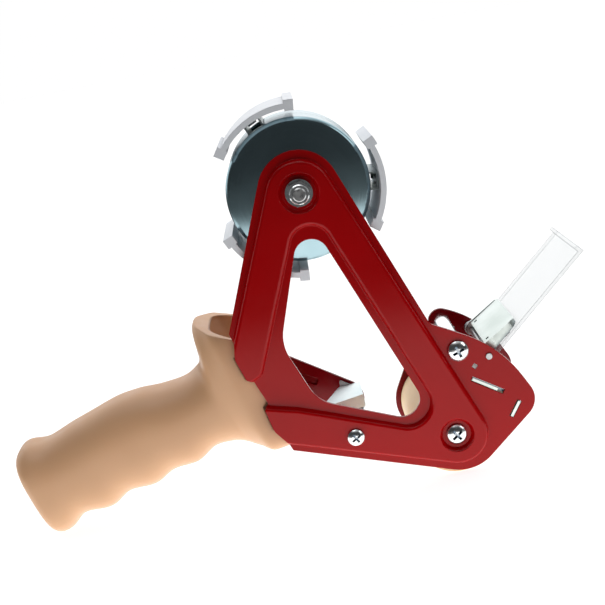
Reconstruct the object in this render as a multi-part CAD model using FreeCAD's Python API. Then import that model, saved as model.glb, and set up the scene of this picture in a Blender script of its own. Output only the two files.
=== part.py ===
"""Side-loading hand tape gun for 50 mm wide packing tape on a 76 mm core.

Frame: +X towards the cutting end, +Y from the embossed side frame towards the open loading
side, +Z up.  The gun stands on its rubber roller and on the butt of its handle, and the
origin is the bottom centre of its box.  Millimetres.

Outlines are written in the plane of the side frame, as (x, z) from the roller axle, and
depths as y from the outer face of the side frame.  The finished pieces are leaned back a
little about the roller axle, until the handle's butt reaches the ground.
"""
import FreeCAD, Part
import math
import os

Vector = FreeCAD.Vector

# ---- where the drawing plane lies -----------------------------------------------------
ROLLER_RADIUS = 19.25
ROLLER_X = 66.8            # roller axle ahead of the box centre
FRAME_Y = -25.0            # outer face of the side frame's flat sheet
ROLLER_Z = ROLLER_RADIUS   # the roller touches the ground
LEAN = 0.74                # degrees that the drawing is leaned back about the roller axle

# ---- sheet metal ----------------------------------------------------------------------
SHEET = 1.6                # side frame and far plates
ZINC = 1.2                 # cross plates and brackets
EMBOSS = 3.0               # height of the side frame's raised panel
DRAFT = 1.3                # how far the raised panel's wall slopes in
EMBOSS_EDGE = 1.4          # rounding of the raised panel's edge
FAR_HEAD_Y = 54.0          # inner face of the far head plate
FAR_GRIP_Y = 52.0          # inner face of the far handle plate

# ---- axes, as (x, z) from the roller axle ------------------------------------------------
ROLLER = (0.0, 0.0)
HUB = (-47.7, 121.3)
SPACER = (7.1, 37.9)
TIE = (-44.6, 8.8)
WIPER_PIN = (20.3, 32.5)

# ---- fasteners --------------------------------------------------------------------------
M5_HEAD_RADIUS = 4.65
M5_HEAD_HEIGHT = 2.7
M5_RADIUS = 2.5
M4_HEAD_RADIUS = 3.8
M4_HEAD_HEIGHT = 2.4
M4_RADIUS = 2.0
M6_RADIUS = 3.0
M6_FLATS = 10.0            # across the flats of nut and bolt head
SCREW_LENGTH = 10.0
HOLE_PLAY = 0.1            # radial play of a fastener in a plate

# ---- hub ----------------------------------------------------------------------------------
CORE_RADIUS = 38.0         # outside of the core segments at rest, for a 76.2 mm tape core
RIDGE_RADIUS = 39.4        # ridges along both edges of a segment
SEGMENT_INNER = 35.5
SEGMENT_START, SEGMENT_END = 2.5, 50.5
SEGMENT_SPAN = 64.0        # degrees
SEGMENT_ANGLES = (-6.0, 114.0, 234.0)
SEGMENT_TRAVEL = 2.0
RIDGE_SPAN = 6.4           # degrees covered by a ridge
PEG_RADIUS = 1.3
LIP_RADIUS = 29.9          # outside of the clips' lips, behind the dish skirts
DISH_RADIUS = 31.6
DISH_FACE_Y = 3.0          # outside of the near dish's flat centre
DISH_FLAT = 12.0           # radius of that flat
DISH_SHEET = 1.0
DRUM_MIDDLE = 26.5         # the two dishes are mirrored about this depth
SPIGOT = 10.4              # ends of the hub core that the dishes are pressed onto
SLEEVE_RADIUS = 5.0
RUNNING_PLAY = 0.06

# ---- handle ---------------------------------------------------------------------------------
GRIP_SLOPE = math.radians(16.0)   # the grip runs down to the rear
GRIP_MIDDLE_Y = 26.8
GRIP_WALL = 2.6


def place(x, z, y):
    """Point of the drawing plane at a depth, in the part's frame."""
    return Vector(ROLLER_X + x, FRAME_Y + y, ROLLER_Z + z)


def save(name, *shapes):
    shape = shapes[0] if len(shapes) == 1 else Part.makeCompound(list(shapes))
    shape.rotate(place(*ROLLER, 0), Vector(0, 1, 0), -LEAN)
    shape.exportStep(f"parts/{name}.step")


def unit(a, b):
    length = math.hypot(b[0] - a[0], b[1] - a[1])
    return ((b[0] - a[0]) / length, (b[1] - a[1]) / length)


def rounded_wire(corners, y):
    """Closed wire through corners (x, z, radius), each rounded by a tangent arc."""
    ends = []
    for i, (x, z, radius) in enumerate(corners):
        back = unit((x, z), corners[i - 1])
        ahead = unit((x, z), corners[(i + 1) % len(corners)])
        half = 0.5 * math.acos(max(-1.0, min(1.0, back[0] * ahead[0] + back[1] * ahead[1])))
        if radius == 0:
            ends.append(((x, z), None, (x, z)))
            continue
        run = radius / math.tan(half)
        middle = radius / math.sin(half) - radius
        bisector = unit((0, 0), (back[0] + ahead[0], back[1] + ahead[1]))
        ends.append(((x + back[0] * run, z + back[1] * run),
                     (x + bisector[0] * middle, z + bisector[1] * middle),
                     (x + ahead[0] * run, z + ahead[1] * run)))
    edges = []
    for i, (start, middle, end) in enumerate(ends):
        if middle:
            edges.append(Part.Arc(place(*start, y), place(*middle, y), place(*end, y)).toShape())
        following = ends[(i + 1) % len(ends)][0]
        if math.dist(end, following) > 1e-6:
            edges.append(Part.LineSegment(place(*end, y), place(*following, y)).toShape())
    return Part.Wire(edges)


def inset(corners, amount):
    """The same outline moved inwards: lines shift, convex radii shrink, concave ones grow."""
    area = sum(a[0] * b[1] - b[0] * a[1] for a, b in zip(corners, corners[1:] + corners[:1]))
    side = 1 if area > 0 else -1
    moved = []
    for i, (x, z, radius) in enumerate(corners):
        into = unit(corners[i - 1], (x, z))
        out = unit((x, z), corners[(i + 1) % len(corners)])
        turn = into[0] * out[1] - into[1] * out[0]
        normal_in = (-into[1] * side, into[0] * side)
        normal_out = (-out[1] * side, out[0] * side)
        share = amount / (1 + normal_in[0] * normal_out[0] + normal_in[1] * normal_out[1])
        change = -amount if turn * side > 0 else amount
        moved.append((x + (normal_in[0] + normal_out[0]) * share,
                      z + (normal_in[1] + normal_out[1]) * share,
                      max(radius + change, 0.4) if radius else 0))
    return moved


def prism(corners, start, end):
    face = Part.Face(rounded_wire(corners, start))
    return face.extrude(Vector(0, end - start, 0))


def tapered(corners, start, end, slope):
    """Prism whose wall leans inwards by slope from start to end."""
    return Part.makeLoft([rounded_wire(corners, start), rounded_wire(inset(corners, slope), end)],
                         True, True)


def cylinder(axis, radius, start, end):
    return Part.makeCylinder(radius, end - start, place(*axis, start), Vector(0, 1, 0))


def tube(axis, outer, inner, start, end):
    return cylinder(axis, outer, start, end).cut(cylinder(axis, inner, start - 1, end + 1))


def turned(axis, profile):
    """Solid of revolution about a Y axis, from a closed profile of (radius, y) points."""
    points = [place(axis[0] + radius, axis[1], y) for radius, y in profile]
    face = Part.Face(Part.makePolygon(points + points[:1]))
    return face.revolve(place(*axis, 0), Vector(0, 1, 0), 360)


def hexagon(axis, flats, start, end):
    radius = flats / math.sqrt(3)
    corners = [(axis[0] + radius * math.cos(math.radians(60 * i + 12)),
                axis[1] + radius * math.sin(math.radians(60 * i + 12)), 0) for i in range(6)]
    return prism(corners, start, end)


def bar(start, end, width, y0, y1):
    """Flat bar through the depth, its middle line from start to end in the drawing plane."""
    along = unit(start, end)
    side = (-along[1] * width / 2, along[0] * width / 2)
    corners = [(start[0] + side[0], start[1] + side[1], 0), (end[0] + side[0], end[1] + side[1], 0),
               (end[0] - side[0], end[1] - side[1], 0), (start[0] - side[0], start[1] - side[1], 0)]
    return prism(corners, y0, y1)


def fuse(shapes):
    return shapes[0].multiFuse(shapes[1:]).removeSplitter()


def along(start, end, distance):
    """Point at a distance from start towards end."""
    step = unit(start, end)
    return (start[0] + step[0] * distance, start[1] + step[1] * distance)


# ---- outlines of the plates ---------------------------------------------------------------------
NOSE = [(25.8, 36.1, 58), (40.0, 7.7, 10), (5.7, -20.3, 18.6)]
FRAME_OUTLINE = [(-46.7, 169.9, 17.8), (-2.8, 52.4, 4)] + NOSE + [
    (-73.4, 7.4, 0.8), (-75.2, 12.4, 2), (-79.7, 18.6, 6), (-81.9, 29.3, 1.2), (-79.9, 31.2, 1.2),
    (-84.2, 42.9, 1.5), (-87.0, 44.6, 2), (-90.1, 55.0, 6), (-89.0, 61.3, 3), (-90.3, 66.0, 2)]
WINDOW = [(-48.1, 114.9, 7.6), (-6.7, 5.3, 8.3), (-57.9, 27.6, 17), (-68.8, 56.5, 20)]
# raised panel; both its ribs run out over the sheet's rear edge
PANEL = [(-46.85, 160.3, 15.1), (24.6, -23.4, 14), (-100.0, 19.2, 0), (-100.0, 36.4, 0),
         (-66.4, 26.9, 20), (-1.9, 1.1, 10), (-46.8, 120.3, 8.5), (-79.2, 44.8, 4),
         (-98.0, 34.9, 0), (-98.0, 43.5, 0)]
FAR_HEAD_OUTLINE = [(1.2, 47.2, 6.0), (25.8, 36.1, 48)] + NOSE[1:] + [
    (-17.0, -13.0, 7), (-24.0, 1.0, 18), (-14.0, 19.0, 9), (1.0, 33.5, 8)]
FAR_GRIP_OUTLINE = [(-93.0, 53.0, 3), (17.5, -23.0, 9.6), (-74.2, 8.6, 2), (-80.0, 18.6, 5),
                    (-81.0, 30.0, 4), (-87.2, 43.0, 4)]
LONG_SLOT = ((11.0, 23.8), (24.2, 14.8))
SHORT_SLOT = ((30.4, 9.4), (25.6, 2.6))
SLOT_WIDTH = 2.2
GUIDE_TAB = 12.4           # length of the guide plate's tab in the long slot
SPRING_HOLE = (13.4, 29.2)
BARB = (-75.3, 34.8)
BARB_REACH = 1.5
FAR_RIB = [(-80.0, 37.2, 2.3), (-55.0, 22.4, 2.3), (-58.0, 17.3, 2.3), (-83.0, 32.1, 2.3)]


def side_frame():
    """One pressed sheet: flat nose, raised panel round the window, seats for nut and screw."""
    sheet = prism(FRAME_OUTLINE, 0, SHEET)
    panel = tapered(PANEL, SHEET / 2, -EMBOSS, DRAFT)
    panel = panel.makeFillet(EMBOSS_EDGE, [edge for edge in panel.Edges
                                           if edge.BoundBox.YMax < FRAME_Y - EMBOSS + 0.01])
    trim = prism(inset(FRAME_OUTLINE, 0.05), -EMBOSS - 1, SHEET)
    hollow = tapered(inset(PANEL, SHEET), SHEET + 1, SHEET - EMBOSS, DRAFT)
    body = sheet.fuse(panel.common(trim)).cut(hollow)
    body = body.fuse([cylinder(HUB, 10.6, -EMBOSS + 0.4, HUB_SEAT_Y),
                      cylinder(ROLLER, 9.4, -EMBOSS + 0.4, SHEET),
                      cylinder(TIE, 5.2, -EMBOSS + 0.4, SHEET)])
    seats = [turned(HUB, [(0, -EMBOSS - 1), (9.4, -EMBOSS - 1), (8.9, -EMBOSS), (7.4, -1), (0, -1)]),
             turned(ROLLER, [(0, -EMBOSS - 1), (8.2, -EMBOSS - 1), (7.8, -EMBOSS), (6.4, -0.6), (0, -0.6)])]
    holes = [prism(WINDOW, -EMBOSS - 1, SHEET + 1),
             cylinder(HUB, M6_RADIUS + HOLE_PLAY, -EMBOSS - 1, SHEET + 1),
             cylinder(SPACER, M5_RADIUS + HOLE_PLAY, -1, SHEET + 1),
             cylinder(ROLLER, M5_RADIUS + HOLE_PLAY, -EMBOSS - 1, SHEET + 1),
             cylinder(TIE, M4_RADIUS + HOLE_PLAY, -EMBOSS - 1, SHEET + 1),
             cylinder(WIPER_PIN, 1.5, -1, SHEET + 1)]
    return body.cut(seats + holes + slots(-1, SHEET + 1)).fuse(barb(SHEET, 1)).removeSplitter()


def slots(start, end):
    corner = math.sqrt(0.5) * 2.2
    diamond = [(SPRING_HOLE[0] + dx, SPRING_HOLE[1] + dz, 0)
               for dx, dz in ((corner, 0), (0, corner), (-corner, 0), (0, -corner))]
    return [bar(*LONG_SLOT, SLOT_WIDTH, start, end), bar(*SHORT_SLOT, SLOT_WIDTH, start, end),
            prism(diamond, start, end)]


def far_head_plate():
    plate = prism(FAR_HEAD_OUTLINE, FAR_HEAD_Y, FAR_HEAD_Y + SHEET)
    holes = [cylinder(axis, radius, FAR_HEAD_Y - 1, FAR_HEAD_Y + SHEET + 1)
             for axis, radius in ((SPACER, M5_RADIUS + HOLE_PLAY), (ROLLER, M5_RADIUS + HOLE_PLAY),
                                  (WIPER_PIN, 1.5))]
    return plate.cut(holes + slots(FAR_HEAD_Y - 1, FAR_HEAD_Y + SHEET + 1))


def barb(inner_face, inwards):
    """Lanced corner of a plate, bent in to bite into the handle."""
    x, z = BARB
    reach = BARB_REACH * inwards
    foot = [place(x + 2.2, z + 1.4, inner_face), place(x - 2.2, z + 1.2, inner_face),
            place(x + 0.2, z - 2.2, inner_face)]
    tip = [place(x + 2.0, z + 1.2, inner_face + reach), place(x + 0.9, z + 1.2, inner_face + reach),
           place(x + 1.4, z + 0.5, inner_face + reach)]
    return Part.makeLoft([Part.makePolygon(foot + foot[:1]), Part.makePolygon(tip + tip[:1])], True, True)


def far_handle_plate():
    plate = prism(FAR_GRIP_OUTLINE, FAR_GRIP_Y, FAR_GRIP_Y + SHEET)
    rib = tapered(FAR_RIB, FAR_GRIP_Y + SHEET / 2, FAR_GRIP_Y + SHEET + 1.2, 0.8)
    groove = tapered(inset(FAR_RIB, 1.0), FAR_GRIP_Y - 0.5, FAR_GRIP_Y + 1.2, 0.4)
    hole = cylinder(TIE, M4_RADIUS + HOLE_PLAY, FAR_GRIP_Y - 1, FAR_GRIP_Y + SHEET + 1)
    return plate.fuse(rib).cut([groove, hole]).fuse(barb(FAR_GRIP_Y, -1)).removeSplitter()


# ---- fasteners ------------------------------------------------------------------------------------
def phillips_screw(axis, seat, outward, radius, head_radius, head_height, length, turn):
    """Pan head screw; outward is -1 when the head faces -Y and +1 when it faces +Y."""
    crown = head_height * 0.45
    top = Part.Arc(Vector(head_radius, 0, crown), Vector(head_radius * 0.62, 0, head_height * 0.93),
                   Vector(0, 0, head_height)).toShape()
    lines = Part.makePolygon([Vector(0, 0, head_height), Vector(0, 0, -length), Vector(radius, 0, -length),
                              Vector(radius, 0, 0), Vector(head_radius, 0, 0), Vector(head_radius, 0, crown)])
    screw = Part.Face(Part.Wire([top] + lines.Edges)).revolve(Vector(0, 0, 0), Vector(0, 0, 1), 360)
    for angle in (turn, turn + 90):
        blade = Part.makeBox(head_radius * 1.15, head_radius * 0.26, head_height)
        blade.translate(Vector(-head_radius * 0.575, -head_radius * 0.13, head_height * 0.35))
        blade.rotate(Vector(0, 0, 0), Vector(0, 0, 1), angle)
        screw = screw.cut(blade)
    screw.rotate(Vector(0, 0, 0), Vector(1, 0, 0), 90 if outward < 0 else -90)
    screw.translate(place(*axis, seat))
    return screw


def head_screws():
    """The four M5 screws that clamp the two head plates onto the spacer and the roller axle."""
    size = (M5_RADIUS, M5_HEAD_RADIUS, M5_HEAD_HEIGHT, SCREW_LENGTH)
    far = FAR_HEAD_Y + SHEET
    return [phillips_screw(SPACER, 0, -1, *size, 20), phillips_screw(ROLLER, -0.6, -1, *size, 35),
            phillips_screw(SPACER, far, 1, *size, 5), phillips_screw(ROLLER, far, 1, *size, 50)]


def handle_screws():
    """The two M4 screws that clamp the plates onto the tie bracket in front of the handle."""
    size = (M4_RADIUS, M4_HEAD_RADIUS, M4_HEAD_HEIGHT, SCREW_LENGTH * 0.8)
    return [phillips_screw(TIE, -EMBOSS, -1, *size, 30),
            phillips_screw(TIE, FAR_GRIP_Y + SHEET, 1, *size, 10)]


def spacer_tube():
    body = cylinder(SPACER, 4.0, SHEET, FAR_HEAD_Y)
    holes = [cylinder(SPACER, M5_RADIUS, SHEET - 1, SHEET + SCREW_LENGTH + 2),
             cylinder(SPACER, M5_RADIUS, FAR_HEAD_Y - SCREW_LENGTH - 2, FAR_HEAD_Y + 1)]
    return body.cut(holes)


# ---- roller ---------------------------------------------------------------------------------------
ROLLER_START, ROLLER_END = 2.3, 53.3
CORE_OUTER = 14.0
AXLE_RADIUS = 5.0


def roller_axle():
    body = cylinder(ROLLER, AXLE_RADIUS, SHEET, FAR_HEAD_Y)
    holes = [cylinder(ROLLER, M5_RADIUS, SHEET - 1, SHEET + SCREW_LENGTH + 2),
             cylinder(ROLLER, M5_RADIUS, FAR_HEAD_Y - SCREW_LENGTH - 2, FAR_HEAD_Y + 1)]
    return body.cut(holes)


def roller_core():
    """Moulded bush: a bore at each end, a clearance bore between, and a smooth outside."""
    inner = AXLE_RADIUS + RUNNING_PLAY
    body = tube(ROLLER, CORE_OUTER, inner, ROLLER_START, ROLLER_END)
    grooves = [tube(ROLLER, 12.2, 7.6, ROLLER_START - 1, ROLLER_START + 9),
               tube(ROLLER, 12.2, 7.6, ROLLER_END - 9, ROLLER_END + 1)]
    return body.cut(grooves)


def roller_tyre():
    """Rubber sleeve with slightly broken edges, a little shorter than its bush."""
    start, end, edge = ROLLER_START + 0.1, ROLLER_END - 0.1, 0.4
    return turned(ROLLER, [(CORE_OUTER, start), (ROLLER_RADIUS - edge, start), (ROLLER_RADIUS, start + edge),
                           (ROLLER_RADIUS, end - edge), (ROLLER_RADIUS - edge, end), (CORE_OUTER, end)])


# ---- hub ------------------------------------------------------------------------------------------
FAR_FACE_Y = 2 * DRUM_MIDDLE - DISH_FACE_Y
HUB_SLEEVE_END = FAR_FACE_Y + 0.05
HUB_SEAT_Y = 0.6           # inner face of the frame under the hub nut
WASHER = 1.2
THRUST_WASHER_RADIUS = 9.0
NUT_HEIGHT = 5.6
FELT_END = 2.2             # inner face of the felt washer between frame and hub
SPRING_POCKET = 16.0       # floor of the hub core's pocket for the tension spring


def hub_bolt():
    seat = HUB_SLEEVE_END + WASHER
    shank = cylinder(HUB, M6_RADIUS, -8.3, seat)
    shank = shank.makeChamfer(0.5, [min(shank.Edges, key=lambda edge: edge.BoundBox.YMax)])
    return shank.fuse(hexagon(HUB, M6_FLATS, seat, seat + 3.6))


def hub_lock_nut():
    """Hexagon with the round collar that holds the locking ring."""
    seat = -1 - WASHER
    collar = 1.7
    nut = hexagon(HUB, M6_FLATS, seat - NUT_HEIGHT + collar, seat)
    cone = turned(HUB, [(0, seat - NUT_HEIGHT), (4.7, seat - NUT_HEIGHT), (6.3, seat - 3.1), (6.3, seat),
                        (0, seat)])
    ring = turned(HUB, [(0, seat - NUT_HEIGHT), (3.9, seat - NUT_HEIGHT), (4.35, seat - NUT_HEIGHT + 0.5),
                        (4.35, seat - 2), (0, seat - 2)])
    return nut.common(cone).fuse(ring).cut(cylinder(HUB, M6_RADIUS, -20, 5)).removeSplitter()


def hub_washers():
    """A plain one under the nut and a wide one under the bolt's head that the hub turns against."""
    return [tube(HUB, 6.0, M6_RADIUS + HOLE_PLAY, -1 - WASHER, -1),
            tube(HUB, THRUST_WASHER_RADIUS, M6_RADIUS + HOLE_PLAY, HUB_SLEEVE_END, HUB_SLEEVE_END + WASHER)]


def hub_sleeve():
    return tube(HUB, SLEEVE_RADIUS, M6_RADIUS + HOLE_PLAY / 2, HUB_SEAT_Y, HUB_SLEEVE_END)


CLIP_WIDTH = 8.0
CLIP_START, CLIP_END = 12.5, 40.5
CLIP_ROOT = 28.0
CLIP_SHEET = 0.8
CLIP_PLAY = 0.4
ARM_END = 15.0
ARM_INSET = 5.0            # from a dish's centre face to the arms


def hub_dish(far):
    """Spun dish with a flat centre, domed outwards, and a skirt that meets the other dish's."""
    def at(point):
        radius, y = point
        return place(HUB[0] + radius, HUB[1], 2 * DRUM_MIDDLE - y if far else y)

    def polyline(*points):
        return [Part.LineSegment(at(a), at(b)).toShape() for a, b in zip(points, points[1:])]

    def arcs(*points):
        return [Part.Arc(*(at(point) for point in points[i:i + 3])).toShape() for i in (0, 2)]

    outer, inner = DISH_RADIUS, DISH_RADIUS - DISH_SHEET
    face, back = DISH_FACE_Y, DISH_FACE_Y + DISH_SHEET
    skirt_end = DRUM_MIDDLE - 0.2
    front = arcs((DISH_FLAT, face), (21.5, face + 0.95), (29.6, face + 3.2),
                 (31.0, face + 4.1), (outer, face + 5.6))
    rear = arcs((DISH_FLAT, back), (21.3, back + 0.9), (29.1, back + 3.1),
                (30.2, back + 3.9), (inner, back + 5.0))
    skirt = polyline((outer, face + 5.6), (outer, skirt_end), (inner, skirt_end), (inner, back + 5.0))
    centre = polyline((DISH_FLAT, back), (SPIGOT, back), (SPIGOT, face), (DISH_FLAT, face))
    wire = Part.Wire(Part.__sortEdges__(front + rear + skirt + centre))
    dish = Part.Face(wire).revolve(place(*HUB, 0), Vector(0, 1, 0), 360)
    return dish.cut([clip_box(angle, CLIP_ROOT - SEGMENT_TRAVEL - 0.5, DISH_RADIUS + 3, CLIP_START - 0.6,
                              CLIP_END + 0.6, CLIP_PLAY) for angle in SEGMENT_ANGLES])


def radial(shape, angle):
    """Turn a shape drawn along +X from the hub axis to an angle above +X."""
    shape.rotate(place(*HUB, 0), Vector(0, 1, 0), -angle)
    return shape


def clip_box(angle, inner, outer, start, end, play):
    half = CLIP_WIDTH / 2 + play
    box = Part.makeBox(outer - inner, end - start, 2 * half, place(HUB[0] + inner, HUB[1] - half, start))
    return radial(box, angle)


def hub_core():
    """Moulded centre that turns on the sleeve, with an arm as spring seat for each segment."""
    body = cylinder(HUB, SPIGOT + 1.1, DISH_FACE_Y + DISH_SHEET, FAR_FACE_Y - DISH_SHEET)
    spigots = cylinder(HUB, SPIGOT, DISH_FACE_Y, FAR_FACE_Y)
    arms = [clip_box(angle, SLEEVE_RADIUS + 1, ARM_END, DISH_FACE_Y + ARM_INSET, FAR_FACE_Y - ARM_INSET, 1.0)
            for angle in SEGMENT_ANGLES]
    holes = [cylinder(HUB, SLEEVE_RADIUS + RUNNING_PLAY, 0, 60), cylinder(HUB, 8.8, 0, SPRING_POCKET)]
    return body.fuse(arms + [spigots]).cut(holes).removeSplitter()


def segment_clip(angle):
    """Folded strip: a rectangular loop, open along Y, with lips that stop it behind the dish skirts."""
    outside = clip_box(angle, CLIP_ROOT, SEGMENT_INNER, CLIP_START, CLIP_END, 0)
    inside = clip_box(angle, CLIP_ROOT + CLIP_SHEET, SEGMENT_INNER - CLIP_SHEET, CLIP_START - 1,
                      CLIP_END + 1, -CLIP_SHEET)
    lips = clip_box(angle, LIP_RADIUS - CLIP_SHEET, LIP_RADIUS, CLIP_START + 2.0, CLIP_END - 2.0, 1.5)
    return outside.fuse(lips).cut([inside] + pegs(angle, PEG_RADIUS, 0))


def pegs(angle, radius, head):
    """Moulded pegs that hold a clip on its segment, their heads formed inside the clip."""
    middle = (CLIP_START + CLIP_END) / 2
    shapes = []
    for y in (middle - 9, middle + 9):
        foot = place(HUB[0] + SEGMENT_INNER - CLIP_SHEET, HUB[1], y)
        peg = Part.makeCylinder(radius, CLIP_SHEET + 0.8, foot, Vector(1, 0, 0))
        if head:
            peg = peg.fuse(Part.makeCylinder(head, 0.9, foot, Vector(-1, 0, 0)))
        shapes.append(radial(peg, angle))
    return shapes


def sector(inner, outer, start, end):
    """Part of a ring between two angles above +X, as long as a segment."""
    points = [place(HUB[0] + inner, HUB[1], SEGMENT_START), place(HUB[0] + outer, HUB[1], SEGMENT_START),
              place(HUB[0] + outer, HUB[1], SEGMENT_END), place(HUB[0] + inner, HUB[1], SEGMENT_END)]
    face = Part.Face(Part.makePolygon(points + points[:1]))
    ring = face.revolve(place(*HUB, 0), Vector(0, -1, 0), end - start)
    return radial(ring, start)


def core_segment(angle):
    """Moulded shell that grips the tape core, with a ridge along both edges."""
    start, end = angle - SEGMENT_SPAN / 2, angle + SEGMENT_SPAN / 2
    shell = fuse([sector(SEGMENT_INNER, CORE_RADIUS, start, end),
                  sector(SEGMENT_INNER - 0.9, RIDGE_RADIUS, start, start + RIDGE_SPAN),
                  sector(SEGMENT_INNER - 0.9, RIDGE_RADIUS, end - RIDGE_SPAN, end)])
    seat = clip_box(angle, 20, SEGMENT_INNER, CLIP_START, CLIP_END, 0)
    return shell.cut(seat).fuse(pegs(angle, PEG_RADIUS, PEG_RADIUS + 0.8)).removeSplitter()


def coil_spring(axis_point, direction, radius, wire, length, turns):
    pitch = length / turns
    helix = Part.makeHelix(pitch, length, radius)
    start = Vector(radius, 0, 0)
    ring = Part.Wire(Part.Circle(start, Vector(0, 1, pitch / (2 * math.pi * radius)), wire / 2).toShape())
    coil = Part.Wire(helix).makePipeShell([ring], True, True)
    coil.Placement = FreeCAD.Placement(axis_point, FreeCAD.Rotation(Vector(0, 0, 1), direction))
    return coil


def tension_spring():
    """Compression spring in the hub core that presses the felt washer onto the frame."""
    wire = 1.5
    start, end = FELT_END + 0.15, SPRING_POCKET - 0.15
    return coil_spring(place(*HUB, start + wire / 2), Vector(0, 1, 0), 7.6, wire, end - start - wire, 5)


def friction_washer():
    """Felt ring that drags on the frame and keeps the roll from running on."""
    return tube(HUB, 9.6, SLEEVE_RADIUS + HOLE_PLAY, HUB_SEAT_Y + 0.05, FELT_END)


def segment_spring(angle):
    direction = Vector(math.cos(math.radians(angle)), 0, math.sin(math.radians(angle)))
    start = place(*HUB, (CLIP_START + CLIP_END) / 2) + direction * (ARM_END + 0.7)
    return coil_spring(start, direction, 2.6, 0.8, CLIP_ROOT - ARM_END - 1.4, 6)


# ---- handle ---------------------------------------------------------------------------------------
# station along the grip, lower and upper edge, half width, and how square the section is
GRIP_SECTIONS = [
    (50.0, 26.0, 90.0, 25.0, 7.0), (72.0, 27.0, 92.0, 25.0, 6.5), (78.5, 28.0, 94.6, 25.0, 5.2),
    (81.0, 29.2, 95.6, 24.2, 3.4), (84.6, 31.5, 95.4, 22.9, 2.7), (87.8, 34.5, 84.3, 21.8, 2.5),
    (92.0, 37.3, 76.6, 20.8, 2.5), (101.0, 39.6, 73.8, 19.7, 2.6), (112.8, 36.6, 75.6, 19.6, 2.6),
    (124.0, 38.3, 78.7, 19.5, 2.6), (135.0, 36.1, 80.1, 19.4, 2.6), (147.5, 38.7, 79.5, 19.2, 2.6),
    (158.5, 35.9, 79.0, 19.0, 2.6), (171.5, 39.0, 77.8, 18.8, 2.6), (182.0, 35.3, 80.6, 19.2, 2.7),
    (188.4, 35.8, 77.8, 18.6, 2.7)]
COLLAR_LIP = 1.6           # extra wall thickness round the collar's mouth
LIP_MIDDLE, LIP_SPREAD = 84.0, 8.0
MOUTH = [(58, 76.8), (100, 107.4)]   # line, as station and height, along which the mouth is cut
BUTT_ROUNDING = 5.0
GRIP_STATIONS = 40
GRIP_POINTS = 32


def grip_point(station, height, across):
    """Point of the handle: along its slope to the rear, up from it, and across it."""
    x = -station * math.cos(GRIP_SLOPE) - height * math.sin(GRIP_SLOPE)
    z = -station * math.sin(GRIP_SLOPE) + height * math.cos(GRIP_SLOPE)
    return place(x, z, GRIP_MIDDLE_Y + across)


def steady(values, stations, station):
    """Value at a station between knots, without overshoot (monotone cubic)."""
    i = max(k for k in range(len(stations) - 1) if stations[k] <= station)
    slopes = [(values[k + 1] - values[k]) / (stations[k + 1] - stations[k]) for k in range(len(stations) - 1)]

    def tangent(k):
        if k == 0 or k == len(slopes):
            return slopes[min(k, len(slopes) - 1)]
        before, after = slopes[k - 1], slopes[k]
        return 0.0 if before * after <= 0 else 2 * before * after / (before + after)

    span = stations[i + 1] - stations[i]
    t = (station - stations[i]) / span
    return (values[i] * (1 + 2 * t) * (1 - t) ** 2 + tangent(i) * span * t * (1 - t) ** 2
            + values[i + 1] * t * t * (3 - 2 * t) + tangent(i + 1) * span * t * t * (t - 1))


def grip_sections(wall):
    """Sections along the handle, drawn in by the wall's thickness."""
    columns = list(zip(*GRIP_SECTIONS))
    stations = columns[0]
    last = stations[-1] - wall * 1.2
    count = GRIP_STATIONS
    wires = []
    for k in range(count + 1):
        station = stations[0] + (last - stations[0]) * k / count
        low, high, half, power = (steady(column, stations, station) for column in columns[1:])
        lip = COLLAR_LIP * max(0.0, 1 - ((station - LIP_MIDDLE) / LIP_SPREAD) ** 2)
        inwards = wall + lip if wall else 0.0
        wires.append(grip_section(station, low + inwards, high - inwards, half - inwards, power))
    return wires


def grip_section(station, low, high, half_width, power):
    """Closed rounded section across the handle; the higher the power, the squarer it is."""
    middle, half = (low + high) / 2, (high - low) / 2
    points = []
    for i in range(GRIP_POINTS):
        angle = 2 * math.pi * i / GRIP_POINTS
        size = (abs(math.cos(angle)) ** power + abs(math.sin(angle)) ** power) ** (-1 / power)
        across, up = math.cos(angle) * size * half_width, math.sin(angle) * size * half
        points.append(grip_point(station, middle + up, across))
    curve = Part.BSplineCurve()
    curve.interpolate(points, PeriodicFlag=True)
    return Part.Wire(curve.toShape())


def handle_grip():
    """Hollow moulding: flared collar at the frame, finger grooves, and a flat butt."""
    outer = Part.makeLoft(grip_sections(0), True, False)
    butt = min(outer.Edges, key=lambda edge: edge.BoundBox.XMax)
    outer = outer.makeFillet(BUTT_ROUNDING, [butt])
    inner = Part.makeLoft(grip_sections(GRIP_WALL), True, False)
    front, rear = MOUTH
    corners = [(front[0], 0), front, rear, (rear[0], 140), (0, 140), (0, 0), (front[0], 0)]
    mouth = Part.Face(Part.makePolygon([grip_point(station, height, -60) for station, height in corners]))
    mouth = mouth.extrude(grip_point(0, 0, 60) - grip_point(0, 0, -60))
    return outer.cut([inner, mouth, barb(SHEET, 1), barb(FAR_GRIP_Y, -1)] + rib_pockets())


def rib_pockets():
    """Shallow pockets in the handle's side, where the two ribs of the side frame end."""
    upper = [(-89.6, 55.2, 0), (-86.6, 45.0, 0), (-84.3, 43.6, 0), (-84.9, 42.1, 0), (-87.7, 43.7, 0),
             (-90.8, 54.6, 0)]
    lower = [(-79.6, 31.0, 0), (-81.4, 29.2, 0), (-79.2, 18.6, 0), (-80.4, 18.0, 0), (-82.7, 29.4, 0),
             (-80.4, 32.0, 0)]
    return [prism(outline, SHEET, SHEET + 1.9) for outline in (upper, lower)]


# ---- cross plates -----------------------------------------------------------------------------------
TAB_REACH = 0.5            # how far a tab stands out of its slot
FLANGE = 3.6               # blade holder's flange
BLADE_SHEET = 1.0
BLADE_REACH = 5.0
TOOTH = 1.5
TOOTH_PITCH = 2.0


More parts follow.
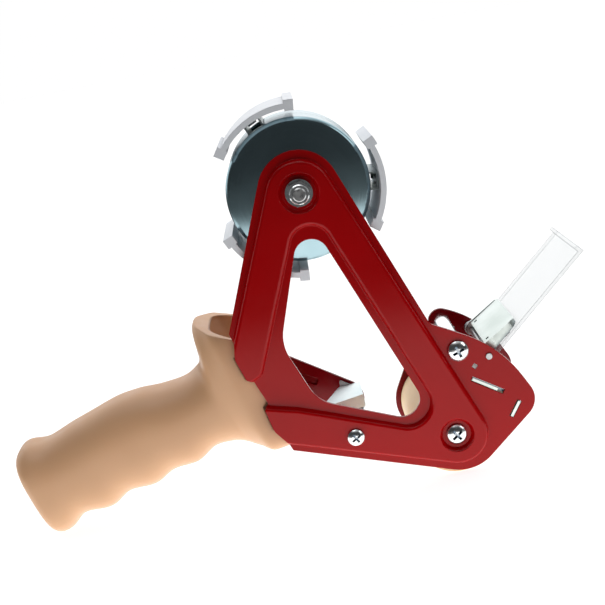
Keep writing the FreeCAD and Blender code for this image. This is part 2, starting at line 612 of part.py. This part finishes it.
def plate_with_tabs(start, end, tab_start, tab_end, thickness):
    """Cross plate between the head plates, with a tab through a slot in each."""
    web = bar(start, end, thickness, SHEET + 0.3, FAR_HEAD_Y - 0.3)
    tabs = bar(tab_start, tab_end, thickness, -TAB_REACH, FAR_HEAD_Y + SHEET + TAB_REACH)
    return fuse([web, tabs])


def tape_guide():
    """Plate that keeps the tape's free end up; its tabs slide in slots longer than they are."""
    start, end = LONG_SLOT
    first = along(start, end, 0.3)
    return plate_with_tabs(along(start, end, -2.0), along(start, end, 17.0),
                           first, along(first, end, GUIDE_TAB), ZINC)


def blade_step():
    """Unit step from the holder's web out to the plates' lower front edge."""
    edge = unit(NOSE[2], NOSE[1])
    return (edge[1], -edge[0])


def blade_holder():
    """Angle plate: web with tabs in the short slots, and a flange the blade is riveted to."""
    start, end = SHORT_SLOT
    root = along(start, end, 9.4)
    step = blade_step()
    flange_end = (root[0] + step[0] * FLANGE, root[1] + step[1] * FLANGE)
    web = plate_with_tabs(along(start, end, -1.5), root, along(start, end, 0.3), along(start, end, 8.0),
                          ZINC)
    flange = bar((root[0] - step[0] * ZINC / 2, root[1] - step[1] * ZINC / 2), flange_end, ZINC,
                 SHEET + 0.3, FAR_HEAD_Y - 0.3)
    return fuse([web, flange]).cut(blade_rivets())


def blade_line():
    """Where the blade lies: on the flange's face towards the roller."""
    start, end = SHORT_SLOT
    root = along(start, end, 9.4)
    step = blade_step()
    lift = ZINC / 2 + BLADE_SHEET / 2
    side = (-step[1], step[0])
    if side[0] * root[0] + side[1] * root[1] > 0:
        side = (-side[0], -side[1])
    return (root[0] + side[0] * lift, root[1] + side[1] * lift), step, side


def cutting_blade():
    """Steel strip with a row of triangular teeth along its front edge."""
    origin, step, side = blade_line()
    y0, y1 = SHEET + 0.6, FAR_HEAD_Y - 0.6
    count = int((y1 - y0) / TOOTH_PITCH)
    pitch = (y1 - y0) / count

    def at(reach, y):
        return place(origin[0] + step[0] * reach - side[0] * BLADE_SHEET / 2,
                     origin[1] + step[1] * reach - side[1] * BLADE_SHEET / 2, y)

    points = [at(0.4, y1), at(0.4, y0), at(BLADE_REACH - TOOTH, y0)]
    for i in range(count):
        points += [at(BLADE_REACH, y0 + (i + 0.5) * pitch), at(BLADE_REACH - TOOTH, y0 + (i + 1) * pitch)]
    face = Part.Face(Part.makePolygon(points + points[:1]))
    blade = face.extrude(Vector(side[0], 0, side[1]) * BLADE_SHEET)
    return blade.cut(blade_rivets())


def blade_rivets():
    """Two rivets through flange and blade."""
    origin, step, side = blade_line()
    outward = Vector(side[0], 0, side[1])
    near_face = -BLADE_SHEET / 2 - ZINC
    rivets = []
    for y in (SHEET + 10, FAR_HEAD_Y - 10):
        centre = place(origin[0] + step[0] * 1.9, origin[1] + step[1] * 1.9, y)
        shank = Part.makeCylinder(0.9, ZINC + BLADE_SHEET, centre + outward * near_face, outward)
        heads = [Part.makeCylinder(1.5, 0.5, centre + outward * BLADE_SHEET / 2, outward),
                 Part.makeCylinder(1.5, 0.5, centre + outward * (near_face - 0.5), outward)]
        rivets.append(shank.fuse(heads).removeSplitter())
    return rivets


def tie_bracket():
    """Folded zinc tie between the plates in front of the handle: two ears with tapped bosses, a
    web low down between them, and a skirted shelf folded inwards from the far ear."""
    near_ear = [(-50.0, 2.0, 2), (-50.0, 15.0, 1), (-37.2, 15.0, 1), (-36.0, 4.0, 3), (-43.0, 0.5, 3)]
    far_ear = [(-47.2, 2.0, 2), (-47.2, 19.8, 0.8), (-40.6, 15.4, 0.8), (-37.2, 15.4, 1), (-36.4, 4.0, 3),
               (-42.0, 0.5, 3)]
    shelf_top, skirt_bottom, shelf_y = 16.4, 10.4, 32.0
    shelf = [(-55.2, 31.0), (-47.2, FAR_GRIP_Y), (-37.2, FAR_GRIP_Y), (-37.2, shelf_y), (-50.9, 26.5)]
    skirt = [(-37.2, shelf_y), (-50.9, 26.5), (-50.9, 26.5 + ZINC), (-37.2, shelf_y + ZINC)]
    folds = []
    for outline, depth in ((shelf, ZINC), (skirt, shelf_top - skirt_bottom)):
        points = [place(x, shelf_top, y) for x, y in outline]
        folds.append(Part.Face(Part.makePolygon(points + points[:1])).extrude(Vector(0, 0, -depth)))
    ears = [prism(near_ear, SHEET, SHEET + ZINC), prism(far_ear, FAR_GRIP_Y - ZINC, FAR_GRIP_Y)]
    web = bar((-47.0, 3.2), (-38.0, 3.2), ZINC, SHEET, FAR_GRIP_Y)
    bosses = [cylinder(TIE, 4.0, SHEET, SHEET + 8), cylinder(TIE, 4.0, FAR_GRIP_Y - 8, FAR_GRIP_Y)]
    threads = [cylinder(TIE, M4_RADIUS, SHEET - 1, SHEET + 8.5),
               cylinder(TIE, M4_RADIUS, FAR_GRIP_Y - 8.5, FAR_GRIP_Y + 1)]
    return fuse(ears + bosses + folds + [web]).cut(threads)


# ---- wiper ----------------------------------------------------------------------------------------
WIPER_START, WIPER_END = 3.4, 51.6
BRACKET_START, BRACKET_END = 5.6, 47.0
FLAP_ROOT, FLAP_TIP = (24.6, 32.6), (68.9, 70.9)
FLAP_SHEET = 1.7
PIN_RADIUS = 1.4


def wiper_flap():
    """Clear plastic flap with a lip along its tip."""
    flap = bar(FLAP_ROOT, FLAP_TIP, FLAP_SHEET, WIPER_START, WIPER_END)
    step = unit(FLAP_ROOT, FLAP_TIP)
    lip_base = along(FLAP_ROOT, FLAP_TIP, math.dist(FLAP_ROOT, FLAP_TIP) - 0.9)
    lip_top = (lip_base[0] - step[1] * 2.9, lip_base[1] + step[0] * 2.9)
    return fuse([flap, bar(lip_base, lip_top, 1.8, WIPER_START, WIPER_END)]).cut(wiper_rivets())


def wiper_bracket():
    """Zinc channel that turns on the pin: face, two ears, and a folded seat for the flap."""
    step = unit(FLAP_ROOT, FLAP_TIP)
    lift = FLAP_SHEET / 2 + ZINC / 2
    up = (-step[1] * lift, step[0] * lift)
    seat_start, seat_end = (along(FLAP_ROOT, FLAP_TIP, distance) for distance in (3.0, 14.0))
    seat = bar((seat_start[0] + up[0], seat_start[1] + up[1]), (seat_end[0] + up[0], seat_end[1] + up[1]),
               ZINC, BRACKET_START, BRACKET_END)
    face = bar((20.6, 36.0), (34.6, 44.9), ZINC, BRACKET_START, BRACKET_END)
    fold = bar((34.3, 45.2), (34.9, 43.4), ZINC, BRACKET_START, BRACKET_END)
    ear = [(17.6, 31.0, 2.4), (19.6, 36.6, 1.2), (33.6, 45.2, 0.5), (35.3, 43.2, 0.5), (25.6, 34.6, 1),
           (22.0, 29.4, 2)]
    ears = [prism(ear, BRACKET_START, BRACKET_START + ZINC), prism(ear, BRACKET_END - ZINC, BRACKET_END)]
    body = fuse([seat, face, fold] + ears)
    slots_in_face = [bar((21.4, 38.6), (24.6, 35.2), 1.5, y, y + 1.8)
                     for y in (BRACKET_START + 4, BRACKET_END - 6)]
    flap_room = bar(FLAP_ROOT, along(FLAP_ROOT, FLAP_TIP, 20), FLAP_SHEET, WIPER_START, WIPER_END)
    bore = cylinder(WIPER_PIN, PIN_RADIUS + RUNNING_PLAY, 0, 60)
    return body.common(bracket_outline()).cut(slots_in_face + [flap_room, bore] + wiper_rivets())


def bracket_outline():
    """Block over the wiper bracket with its two leading corners rounded."""
    block = Part.makeBox(31, BRACKET_END - BRACKET_START, 40, Vector(-12, 0, -20))
    corners = [edge for edge in block.Edges if edge.BoundBox.XMin > 18 and edge.BoundBox.ZLength > 30]
    block = block.makeFillet(4.5, corners)
    step = unit((20.6, 36.0), (34.6, 44.9))
    block.rotate(Vector(0, 0, 0), Vector(0, 1, 0), -math.degrees(math.atan2(step[1], step[0])))
    block.translate(place(20.6 - step[0] * 1.0, 36.0 - step[1] * 1.0, BRACKET_START))
    return block


def wiper_rivets():
    """Two rivets that hold the flap on its bracket."""
    step = unit(FLAP_ROOT, FLAP_TIP)
    normal = Vector(-step[1], 0, step[0])
    base = along(FLAP_ROOT, FLAP_TIP, 8.5)
    stack = FLAP_SHEET + ZINC
    rivets = []
    for y in (BRACKET_START + 9, BRACKET_END - 9):
        under = place(*base, y) - normal * (FLAP_SHEET / 2)
        heads = [Part.makeCylinder(2.6, 0.7, under, normal * -1),
                 Part.makeCylinder(2.2, 0.5, under + normal * stack, normal)]
        rivets.append(Part.makeCylinder(1.5, stack, under, normal).fuse(heads).removeSplitter())
    return rivets


def wiper_pin():
    """Pin through both head plates, with a rim at each end."""
    far = FAR_HEAD_Y + SHEET
    return cylinder(WIPER_PIN, PIN_RADIUS, -0.7, far + 0.7)


def wiper_spring():
    """Torsion spring's coil, on the pin beside the far plate."""
    return coil_spring(place(*WIPER_PIN, 48.2), Vector(0, 1, 0), 2.5, 0.9, 4.0, 4)


def main():
    os.makedirs("parts", exist_ok=True)
    save("side_frame", side_frame())
    save("far_head_plate", far_head_plate())
    save("far_handle_plate", far_handle_plate())
    save("handle_grip", handle_grip())
    save("head_screws", *head_screws())
    save("handle_screws", *handle_screws())
    save("spacer_tube", spacer_tube())
    save("roller_axle", roller_axle())
    save("roller_core", roller_core())
    save("roller_tyre", roller_tyre())
    save("hub_bolt", hub_bolt())
    save("hub_lock_nut", hub_lock_nut())
    save("hub_washers", *hub_washers())
    save("hub_sleeve", hub_sleeve())
    save("hub_core", hub_core())
    save("hub_dish_near", hub_dish(far=False))
    save("hub_dish_far", hub_dish(far=True))
    save("tension_spring", tension_spring())
    save("friction_washer", friction_washer())
    for number, angle in enumerate(SEGMENT_ANGLES, 1):
        save(f"core_segment_{number}", core_segment(angle))
        save(f"segment_clip_{number}", segment_clip(angle))
        save(f"segment_spring_{number}", segment_spring(angle))
    save("tie_bracket", tie_bracket())
    save("tape_guide", tape_guide())
    save("blade_holder", blade_holder())
    save("cutting_blade", cutting_blade())
    save("blade_rivets", *blade_rivets())
    save("wiper_flap", wiper_flap())
    save("wiper_bracket", wiper_bracket())
    save("wiper_rivets", *wiper_rivets())
    save("wiper_pin", wiper_pin())
    save("wiper_spring", wiper_spring())


main()
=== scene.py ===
"""Looks of the tape gun: materials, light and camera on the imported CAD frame."""
import math

import bmesh
import bpy
from mathutils import Matrix, Vector

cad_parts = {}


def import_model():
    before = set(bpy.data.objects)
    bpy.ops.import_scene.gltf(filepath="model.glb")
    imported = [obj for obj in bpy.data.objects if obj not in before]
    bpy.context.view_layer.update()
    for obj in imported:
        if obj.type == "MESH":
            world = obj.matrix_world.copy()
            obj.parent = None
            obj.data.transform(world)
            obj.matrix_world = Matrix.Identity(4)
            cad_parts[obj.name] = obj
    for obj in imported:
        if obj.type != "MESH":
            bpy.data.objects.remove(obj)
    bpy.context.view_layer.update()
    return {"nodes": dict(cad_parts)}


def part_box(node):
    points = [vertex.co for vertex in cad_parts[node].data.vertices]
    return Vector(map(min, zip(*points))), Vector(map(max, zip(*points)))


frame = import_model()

nodes = frame["nodes"]

# ---- where things are, in metres, from the frame ------------------------------------------
roller_low, roller_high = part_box("roller_tyre")
ROLLER = (roller_low + roller_high) / 2          # middle of the roller
bolt_low, bolt_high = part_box("hub_bolt")
HUB = (bolt_low + bolt_high) / 2                 # on the hub's axis
SHEET = 0.0016                                   # thickness of the side frame's sheet
SHEET_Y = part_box("roller_axle")[0].y - SHEET     # outer face of that sheet

# ---- camera ---------------------------------------------------------------------------------
CAMERA_AHEAD = -0.04873      # from the roller axle, along X
CAMERA_AWAY = 0.5187         # from the side frame's face, towards the viewer
CAMERA_HEIGHT = 0.19569      # above the roller axle
CAMERA_YAW = 0.885           # degrees
CAMERA_PITCH = 13.33
CAMERA_ROLL = 11.06
LENS, SENSOR = 72.6, 36.0

# ---- light ----------------------------------------------------------------------------------
BACK_GLOW, OVERHEAD_GLOW, FRONT_GLOW = 1.3, 0.55, 0.05   # surroundings behind, above and in front
BACK_START, BACK_FULL = -0.1, 0.45       # Y of the directions where the back's glow starts and is full
ABOVE_START, ABOVE_FULL = 0.72, 0.95     # the same for the glow overhead, in Z
FLOOR_GLOW = 0.85
TABLE_GLOW = 1.65                        # lit table under the object
TABLE_REACH, TABLE_FADE = 0.25, 0.17     # how far it is evenly lit, and how far it fades out
TABLE_FAR = 0.04                         # its glow beyond that
FLOOR_SIZE, TABLE_SIZE, SURROUND_RADIUS = 40, 20, 7
BELOW_FLOOR = 0.0005                     # the light table lies this far under the floor
OVERHEAD_WATTS, SIDE_WATTS = 4, 3


# ---- finishes -------------------------------------------------------------------------------
PAINT_EDGE = 0.0005          # how far painted, moulded, cut and rubber edges are rounded over
MOULD_EDGE = 0.0004
CUT_EDGE = 0.0004
TYRE_EDGE = 0.0006
HANDLE_RIM = 0.0012
HANDLE_HOLLOW = 0.03         # reach within which shade is painted into the handle's hollow
# reaches within which shade is painted into screw recesses, folds and moulded hollows
SCREW_RECESS, FOLD_RECESS = 0.003, 0.004
GRAIN_DEPTH = 0.00002        # rolled grain of plated steel
# painted shade: dark blue mixed into the recesses of plated parts
RECESS_SHADE = (0.05, 0.09, 0.14)
AMBER = (0.85, 0.27, 0.04)   # light through the edge of the gum rubber


# ---- node helpers ---------------------------------------------------------------------------
def mapped(tree, source, low, high, to_low, to_high, kind="LINEAR"):
    """Map a value from one range to another, evenly or with soft ends."""
    node = tree.nodes.new("ShaderNodeMapRange")
    node.interpolation_type = kind
    values = {"From Min": low, "From Max": high, "To Min": to_low, "To Max": to_high}
    for name, value in values.items():
        node.inputs[name].default_value = value
    tree.links.new(source, node.inputs["Value"])
    return node.outputs["Result"]


class Nodes:
    """A material's node tree, with short calls for the nodes used here."""

    def __init__(self, name):
        self.material = bpy.data.materials.new(name)
        self.material.use_nodes = True
        self.tree = self.material.node_tree
        self.shader = self.tree.nodes["Principled BSDF"]
        self.coordinates = self.tree.nodes.new("ShaderNodeTexCoord").outputs["Object"]

    def add(self, kind, **values):
        """New node; each value goes to the input of that name, or else to the node's own setting."""
        node = self.tree.nodes.new(kind)
        for name, value in values.items():
            if name in node.inputs:
                node.inputs[name].default_value = value
            else:
                setattr(node, name, value)
        return node

    def link(self, source, target):
        self.tree.links.new(source, target)

    def set(self, **values):
        """Values that are the same all over the surface, straight on the shader's sockets."""
        for name, value in values.items():
            self.shader.inputs[name.replace("_", " ")].default_value = value

    def noise(self, scale, detail=3.0, stretch=None):
        source = self.coordinates
        if stretch:
            mapping = self.add("ShaderNodeMapping")
            mapping.inputs["Scale"].default_value = stretch
            self.link(source, mapping.inputs["Vector"])
            source = mapping.outputs["Vector"]
        node = self.add("ShaderNodeTexNoise", Scale=scale, Detail=detail)
        self.link(source, node.inputs["Vector"])
        return node.outputs["Fac"]

    def map_range(self, source, low, high, to_low, to_high):
        return mapped(self.tree, source, low, high, to_low, to_high)

    def mix(self, factor, first, second):
        """Mix two colours, each given as numbers or as another node's output."""
        node = self.add("ShaderNodeMix", data_type="RGBA")
        sockets = [s for s in node.inputs if s.type == "RGBA"]
        for value, socket in ((first, sockets[0]), (second, sockets[1])):
            if isinstance(value, tuple):
                socket.default_value = (*value, 1)
            else:
                self.link(value, socket)
        self.link(factor, node.inputs[0])
        return [s for s in node.outputs if s.type == "RGBA"][0]

    def bump(self, height, distance, strength=0.5, onto=None):
        node = self.add("ShaderNodeBump", Strength=strength, Distance=distance)
        self.link(height, node.inputs["Height"])
        if onto:
            self.link(onto, node.inputs["Normal"])
        return node.outputs["Normal"]

    def rounded(self, radius):
        """Normal that rounds every edge over by a radius, as paint and pressing do."""
        return self.add("ShaderNodeBevel", samples=6, Radius=radius).outputs["Normal"]

    def openness(self, reach):
        """How freely a point sees out, within a reach: low in recesses and hollows."""
        return self.add("ShaderNodeAmbientOcclusion", samples=6, Distance=reach).outputs["AO"]

    def edges(self, rounded, low=0.02, high=0.2):
        """Mask of the edges, from how far the rounded normal leaves the face's own."""
        geometry = self.add("ShaderNodeNewGeometry")
        dot = self.add("ShaderNodeVectorMath", operation="DOT_PRODUCT")
        self.link(rounded, dot.inputs[0])
        self.link(geometry.outputs["Normal"], dot.inputs[1])
        return self.map_range(dot.outputs["Value"], 1 - low, 1 - high, 0, 1)


# ---- materials ------------------------------------------------------------------------------
def enamel(name, colour, deep):
    """Stoved red enamel: faint orange peel, soft mottle, paint thinned and lighter on the edges."""
    n = Nodes(name)
    rounded = n.rounded(PAINT_EDGE)
    worn = n.edges(rounded)
    mottle = n.map_range(n.noise(28, 4), 0.35, 0.7, 0, 1)
    edge_colour = tuple(channel * 1.25 + 0.004 for channel in colour)
    n.link(n.mix(worn, n.mix(mottle, deep, colour), edge_colour), n.shader.inputs["Base Color"])
    n.link(n.map_range(n.noise(90, 5), 0.3, 0.75, 0.12, 0.2), n.shader.inputs["Roughness"])
    n.link(n.bump(n.noise(260, 2), 0.00003, 0.15, onto=rounded), n.shader.inputs["Normal"])
    n.set(Specular_IOR_Level=0.2, IOR=1.5)
    return n.material


def moulded(name, colour, shade, roughness=0.42, rim=MOULD_EDGE, subsurface=0.0, depth=FOLD_RECESS):
    """Moulded plastic: fine spark-eroded grain, colour drift, scuffing, round rims, painted shade darkening
    its hollows.
    """
    n = Nodes(name)
    rounded = n.rounded(rim)
    face = n.mix(n.map_range(n.noise(22, 4), 0.3, 0.7, 0, 1), colour, shade)
    # painted shade: the colour darkens towards a deep shade where the surface sees little out
    painted_hollow_shade = n.map_range(n.openness(depth), 0.2, 0.8, 0, 1)
    n.link(n.mix(painted_hollow_shade, tuple(channel * 0.35 for channel in shade), face), n.shader.inputs["Base Color"])
    n.link(n.map_range(n.noise(160, 4), 0.3, 0.75, roughness - 0.05, roughness + 0.09),
           n.shader.inputs["Roughness"])
    n.link(n.bump(n.noise(1500, 2), 0.00003, 0.35, onto=rounded), n.shader.inputs["Normal"])
    n.set(IOR=1.46, Subsurface_Weight=subsurface, Subsurface_Radius=(0.004, 0.002, 0.001))
    return n.material


def plated(name, colour, tint, roughness=0.25, stretch=(1, 8, 1), recess=0.0):
    """Bright plated steel: rolled grain, cloudy patches of tint, varying polish, painted shade in recesses.
    """
    n = Nodes(name)
    clouds = n.map_range(n.noise(60, 5), 0.35, 0.7, 0, 1)
    plating = n.mix(clouds, colour, tint)
    if recess:
        # painted shade: recesses turn dark blue where the surface sees little out
        plating = n.mix(n.map_range(n.openness(recess), 0.3, 0.7, 0, 1), RECESS_SHADE, plating)
    n.link(plating, n.shader.inputs["Base Color"])
    grain = n.noise(500, 3, stretch=stretch)
    n.link(n.map_range(grain, 0.3, 0.7, roughness - 0.07, roughness + 0.1), n.shader.inputs["Roughness"])
    n.link(n.bump(grain, GRAIN_DEPTH, 0.3), n.shader.inputs["Normal"])
    n.set(Metallic=1.0)
    return n.material


def spun_dish():
    """Dark polished plating on a spun dish, with faint rings about the hub axis."""
    n = Nodes("spun_dish")
    centre = n.add("ShaderNodeVectorMath", operation="SUBTRACT")
    n.link(n.coordinates, centre.inputs[0])
    centre.inputs[1].default_value = HUB
    flat = n.add("ShaderNodeVectorMath", operation="MULTIPLY")
    n.link(centre.outputs[0], flat.inputs[0])
    flat.inputs[1].default_value = (1, 0, 1)
    length = n.add("ShaderNodeVectorMath", operation="LENGTH")
    n.link(flat.outputs[0], length.inputs[0])
    rings = n.add("ShaderNodeTexNoise", Scale=1600.0, Detail=2.0, noise_dimensions="1D")
    n.link(length.outputs["Value"], rings.inputs["W"])
    n.link(n.mix(n.map_range(n.noise(35, 4), 0.35, 0.7, 0, 1), (0.35, 0.49, 0.54), (0.29, 0.42, 0.47)),
           n.shader.inputs["Base Color"])
    n.link(n.map_range(rings.outputs["Fac"], 0.3, 0.7, 0.19, 0.27), n.shader.inputs["Roughness"])
    n.link(n.bump(rings.outputs["Fac"], 0.00001, 0.15), n.shader.inputs["Normal"])
    n.set(Metallic=1.0)
    return n.material


def gum_rubber():
    """Gum rubber sleeve: pale dusty face, amber where the light comes through its edges."""
    n = Nodes("gum_rubber")
    rounded = n.rounded(TYRE_EDGE)
    face = n.mix(n.map_range(n.noise(30, 5), 0.3, 0.7, 0, 1), (0.86, 0.66, 0.42), (0.78, 0.58, 0.35))
    n.link(n.mix(n.edges(rounded, 0.01, 0.15), face, AMBER), n.shader.inputs["Base Color"])
    n.link(n.map_range(n.noise(300, 4), 0.3, 0.7, 0.5, 0.68), n.shader.inputs["Roughness"])
    n.link(n.bump(n.noise(700, 4), 0.00005, 0.4, onto=rounded), n.shader.inputs["Normal"])
    n.set(Subsurface_Weight=0.15, Subsurface_Radius=(0.004, 0.0025, 0.001))
    return n.material


def clear_sheet():
    """Thin clear sheet: its faces hardly show, its cut edges and steep views do."""
    n = Nodes("clear_sheet")
    rounded = n.rounded(CUT_EDGE)
    cut_edge = n.edges(rounded, 0.01, 0.1)
    n.link(n.mix(cut_edge, n.mix(n.noise(40, 3), (0.62, 0.68, 0.70), (0.52, 0.58, 0.60)), (0.10, 0.14, 0.16)),
           n.shader.inputs["Base Color"])
    scratches = n.noise(500, 3, stretch=(0.1, 1, 1))
    n.link(n.map_range(scratches, 0.55, 0.8, 0.05, 0.14), n.shader.inputs["Roughness"])
    n.link(n.bump(scratches, 0.00001, 0.15, onto=rounded), n.shader.inputs["Normal"])
    n.link(n.map_range(cut_edge, 0, 1, 0.22, 0.85), n.shader.inputs["Alpha"])
    n.set(IOR=1.46)
    return n.material


def fibre():
    """Dark pressed fibre of the friction washer."""
    n = Nodes("fibre")
    n.link(n.mix(n.noise(900, 5), (0.035, 0.028, 0.022), (0.09, 0.07, 0.055)), n.shader.inputs["Base Color"])
    n.link(n.bump(n.noise(1500, 4), 0.0001, 0.6), n.shader.inputs["Normal"])
    n.link(n.map_range(n.noise(300, 3), 0.3, 0.7, 0.75, 0.95), n.shader.inputs["Roughness"])
    return n.material


RED = enamel("red_enamel", (0.39, 0.0010, 0.0025), (0.35, 0.0007, 0.0018))
# painted shade: a darker copy of the red enamel for the far plates, which lie in the near frame's shade
SHADED_RED = enamel("dark_enamel", (0.22, 0.0010, 0.0050), (0.19, 0.0008, 0.0040))
ZINC = plated("zinc_plate", (0.70, 0.76, 0.74), (0.56, 0.63, 0.60), 0.34, recess=FOLD_RECESS)
SCREW = plated("screw_zinc", (0.84, 0.87, 0.89), (0.68, 0.72, 0.74), 0.18, (1, 1, 1), recess=SCREW_RECESS)
TIE_ZINC = plated("brushed_zinc", (0.82, 0.89, 0.90), (0.70, 0.81, 0.84), 0.5, recess=SCREW_RECESS)
BRIGHT = plated("bright_zinc", (0.88, 0.90, 0.92), (0.74, 0.78, 0.80), 0.15, (1, 1, 1))
STEEL = plated("drawn_steel", (0.56, 0.57, 0.58), (0.44, 0.45, 0.46), 0.3)
WIRE = plated("spring_wire", (0.50, 0.51, 0.53), (0.38, 0.38, 0.39), 0.28, (1, 1, 1))
SPUN = spun_dish()
TAN = moulded("tan_plastic", (0.68, 0.395, 0.225), (0.64, 0.37, 0.205), 0.42, HANDLE_RIM,
               subsurface=0.08, depth=HANDLE_HOLLOW)
GREY = moulded("grey_nylon", (0.86, 0.89, 0.94), (0.79, 0.83, 0.89), 0.38)
CREAM = moulded("cream_plastic", (0.70, 0.60, 0.45), (0.62, 0.52, 0.38), 0.45)
GUM = gum_rubber()
CLEAR = clear_sheet()
FIBRE = fibre()

FINISHES = {
    RED: ["side_frame"],
    SHADED_RED: ["far_head_plate", "far_handle_plate"],
    TAN: ["handle_grip"],
    SCREW: ["head_screws", "handle_screws", "blade_rivets", "wiper_rivets"],
    BRIGHT: ["hub_lock_nut", "hub_washers", "spacer_tube"],
    STEEL: ["roller_axle", "hub_bolt", "hub_sleeve", "cutting_blade", "wiper_pin"],
    WIRE: ["tension_spring", "wiper_spring"] + [f"segment_spring_{k}" for k in (1, 2, 3)],
    TIE_ZINC: ["tie_bracket"],
    ZINC: ["tape_guide", "blade_holder", "wiper_bracket"]
          + [f"segment_clip_{k}" for k in (1, 2, 3)],
    SPUN: ["hub_dish_near", "hub_dish_far"],
    GREY: ["hub_core"] + [f"core_segment_{k}" for k in (1, 2, 3)],
    CREAM: ["roller_core"],
    GUM: ["roller_tyre"],
    CLEAR: ["wiper_flap"],
    FIBRE: ["friction_washer"],
}
for material, names in FINISHES.items():
    for name in names:
        for slot in nodes[name].material_slots:
            slot.material = material


# ---- surroundings -----------------------------------------------------------------------------
def stage_plane(name, reach, height, material):
    """Square of ground round the origin, reaching this far each way."""
    mesh = bpy.data.meshes.new(name)
    mesh.from_pydata([(x * reach, y * reach, height) for x, y in ((-1, -1), (1, -1), (1, 1), (-1, 1))], [],
                     [(0, 1, 2, 3)])
    plane = bpy.data.objects.new(name, mesh)
    bpy.context.scene.collection.objects.link(plane)
    mesh.materials.append(material)
    return plane


def hide_from(thing, *rays):
    """Make a thing invisible to these kinds of ray."""
    for ray in rays:
        setattr(thing, f"visible_{ray}", False)


def floor():
    """Pale ground that takes the shadows; only the camera sees it."""
    n = Nodes("pale_floor")
    n.link(n.mix(n.noise(2, 2), (0.34, 0.34, 0.34), (0.38, 0.38, 0.38)), n.shader.inputs["Base Color"])
    n.set(Roughness=0.9, Emission_Color=(1, 1, 1, 1), Emission_Strength=FLOOR_GLOW)
    ground = stage_plane("floor", FLOOR_SIZE, 0, n.material)
    hide_from(ground, "diffuse", "glossy", "transmission", "shadow")


def light_table():
    """Glow of the table round the object, which lights it from below and shows in its gloss."""
    n = Nodes("table_glow")
    distance = n.add("ShaderNodeVectorMath", operation="LENGTH")
    n.link(n.coordinates, distance.inputs[0])
    glow = mapped(n.tree, distance.outputs["Value"], TABLE_REACH, TABLE_REACH + TABLE_FADE,
                  TABLE_GLOW, TABLE_FAR, "SMOOTHSTEP")
    n.link(glow, n.shader.inputs["Emission Strength"])
    n.set(Base_Color=(0.05, 0.05, 0.05, 1), Roughness=1.0, Emission_Color=(1, 0.985, 0.96, 1))
    hide_from(stage_plane("light_table", TABLE_SIZE, -BELOW_FLOOR, n.material), "camera", "shadow")


def backdrop():
    """White surround that only the camera sees, so that every view has the same plain ground."""
    n = Nodes("white_surround")
    n.set(Base_Color=(0, 0, 0, 1), Emission_Color=(1, 1, 1, 1), Emission_Strength=1.0)
    mesh = bpy.data.meshes.new("backdrop")
    shape = bmesh.new()
    bmesh.ops.create_uvsphere(shape, u_segments=48, v_segments=24, radius=SURROUND_RADIUS)
    shape.to_mesh(mesh)
    shape.free()
    ball = bpy.data.objects.new("backdrop", mesh)
    bpy.context.scene.collection.objects.link(ball)
    mesh.materials.append(n.material)
    hide_from(ball, "diffuse", "glossy", "transmission", "shadow")


def area_light(name, place, target, size, power):
    """Softbox at a place, facing a target."""
    light = bpy.data.lights.new(name, "AREA")
    light.shape = "RECTANGLE"
    light.size, light.size_y = size
    light.energy = power
    lamp = bpy.data.objects.new(name, light)
    lamp.location = place
    lamp.rotation_mode = "QUATERNION"
    lamp.rotation_quaternion = (Vector(target) - Vector(place)).to_track_quat("-Z", "Y")
    bpy.context.scene.collection.objects.link(lamp)


def world():
    """Bright studio behind, softer overhead, dim towards the front."""
    made = bpy.data.worlds.new("studio")
    made.use_nodes = True
    tree = made.node_tree
    background = tree.nodes["Background"]
    direction = tree.nodes.new("ShaderNodeTexCoord").outputs["Generated"]
    parts = tree.nodes.new("ShaderNodeSeparateXYZ")
    tree.links.new(direction, parts.inputs[0])

    back = mapped(tree, parts.outputs["Y"], BACK_START, BACK_FULL, FRONT_GLOW, BACK_GLOW,
                  "SMOOTHSTEP")
    above = mapped(tree, parts.outputs["Z"], ABOVE_START, ABOVE_FULL, 0, 1, "SMOOTHSTEP")
    glow = tree.nodes.new("ShaderNodeMix")
    tree.links.new(above, glow.inputs["Factor"])
    tree.links.new(back, glow.inputs["A"])
    glow.inputs["B"].default_value = OVERHEAD_GLOW
    tree.links.new(glow.outputs["Result"], background.inputs["Strength"])
    background.inputs["Color"].default_value = (1, 1, 1, 1)
    bpy.context.scene.world = made


def camera():
    """Camera at the photograph's viewing angle, placed from the roller axle and the side frame."""
    data = bpy.data.cameras.new("camera")
    data.lens, data.sensor_width = LENS, SENSOR
    data.clip_start, data.clip_end = 0.01, 100
    made = bpy.data.objects.new("camera", data)
    bpy.context.scene.collection.objects.link(made)
    yaw, pitch, roll = (math.radians(value) for value in (CAMERA_YAW, CAMERA_PITCH, CAMERA_ROLL))
    turn = (Matrix.Rotation(yaw, 4, "Z") @ Matrix.Rotation(math.pi / 2 - pitch, 4, "X")
            @ Matrix.Rotation(-roll, 4, "Z"))
    place = Vector((ROLLER.x + CAMERA_AHEAD, SHEET_Y - CAMERA_AWAY, ROLLER.z + CAMERA_HEIGHT))
    made.matrix_world = Matrix.Translation(place) @ turn
    bpy.context.scene.camera = made


floor()
light_table()
backdrop()
world()
area_light("overhead", place=(-0.1, 0.1, 1.3), target=(0, 0, 0.1), size=(1.1, 0.9), power=OVERHEAD_WATTS)
area_light("side", place=(1.3, -0.5, 0.9), target=(0, 0, 0.1), size=(0.6, 0.9), power=SIDE_WATTS)
camera()
bpy.context.scene.view_settings.view_transform = "Standard"
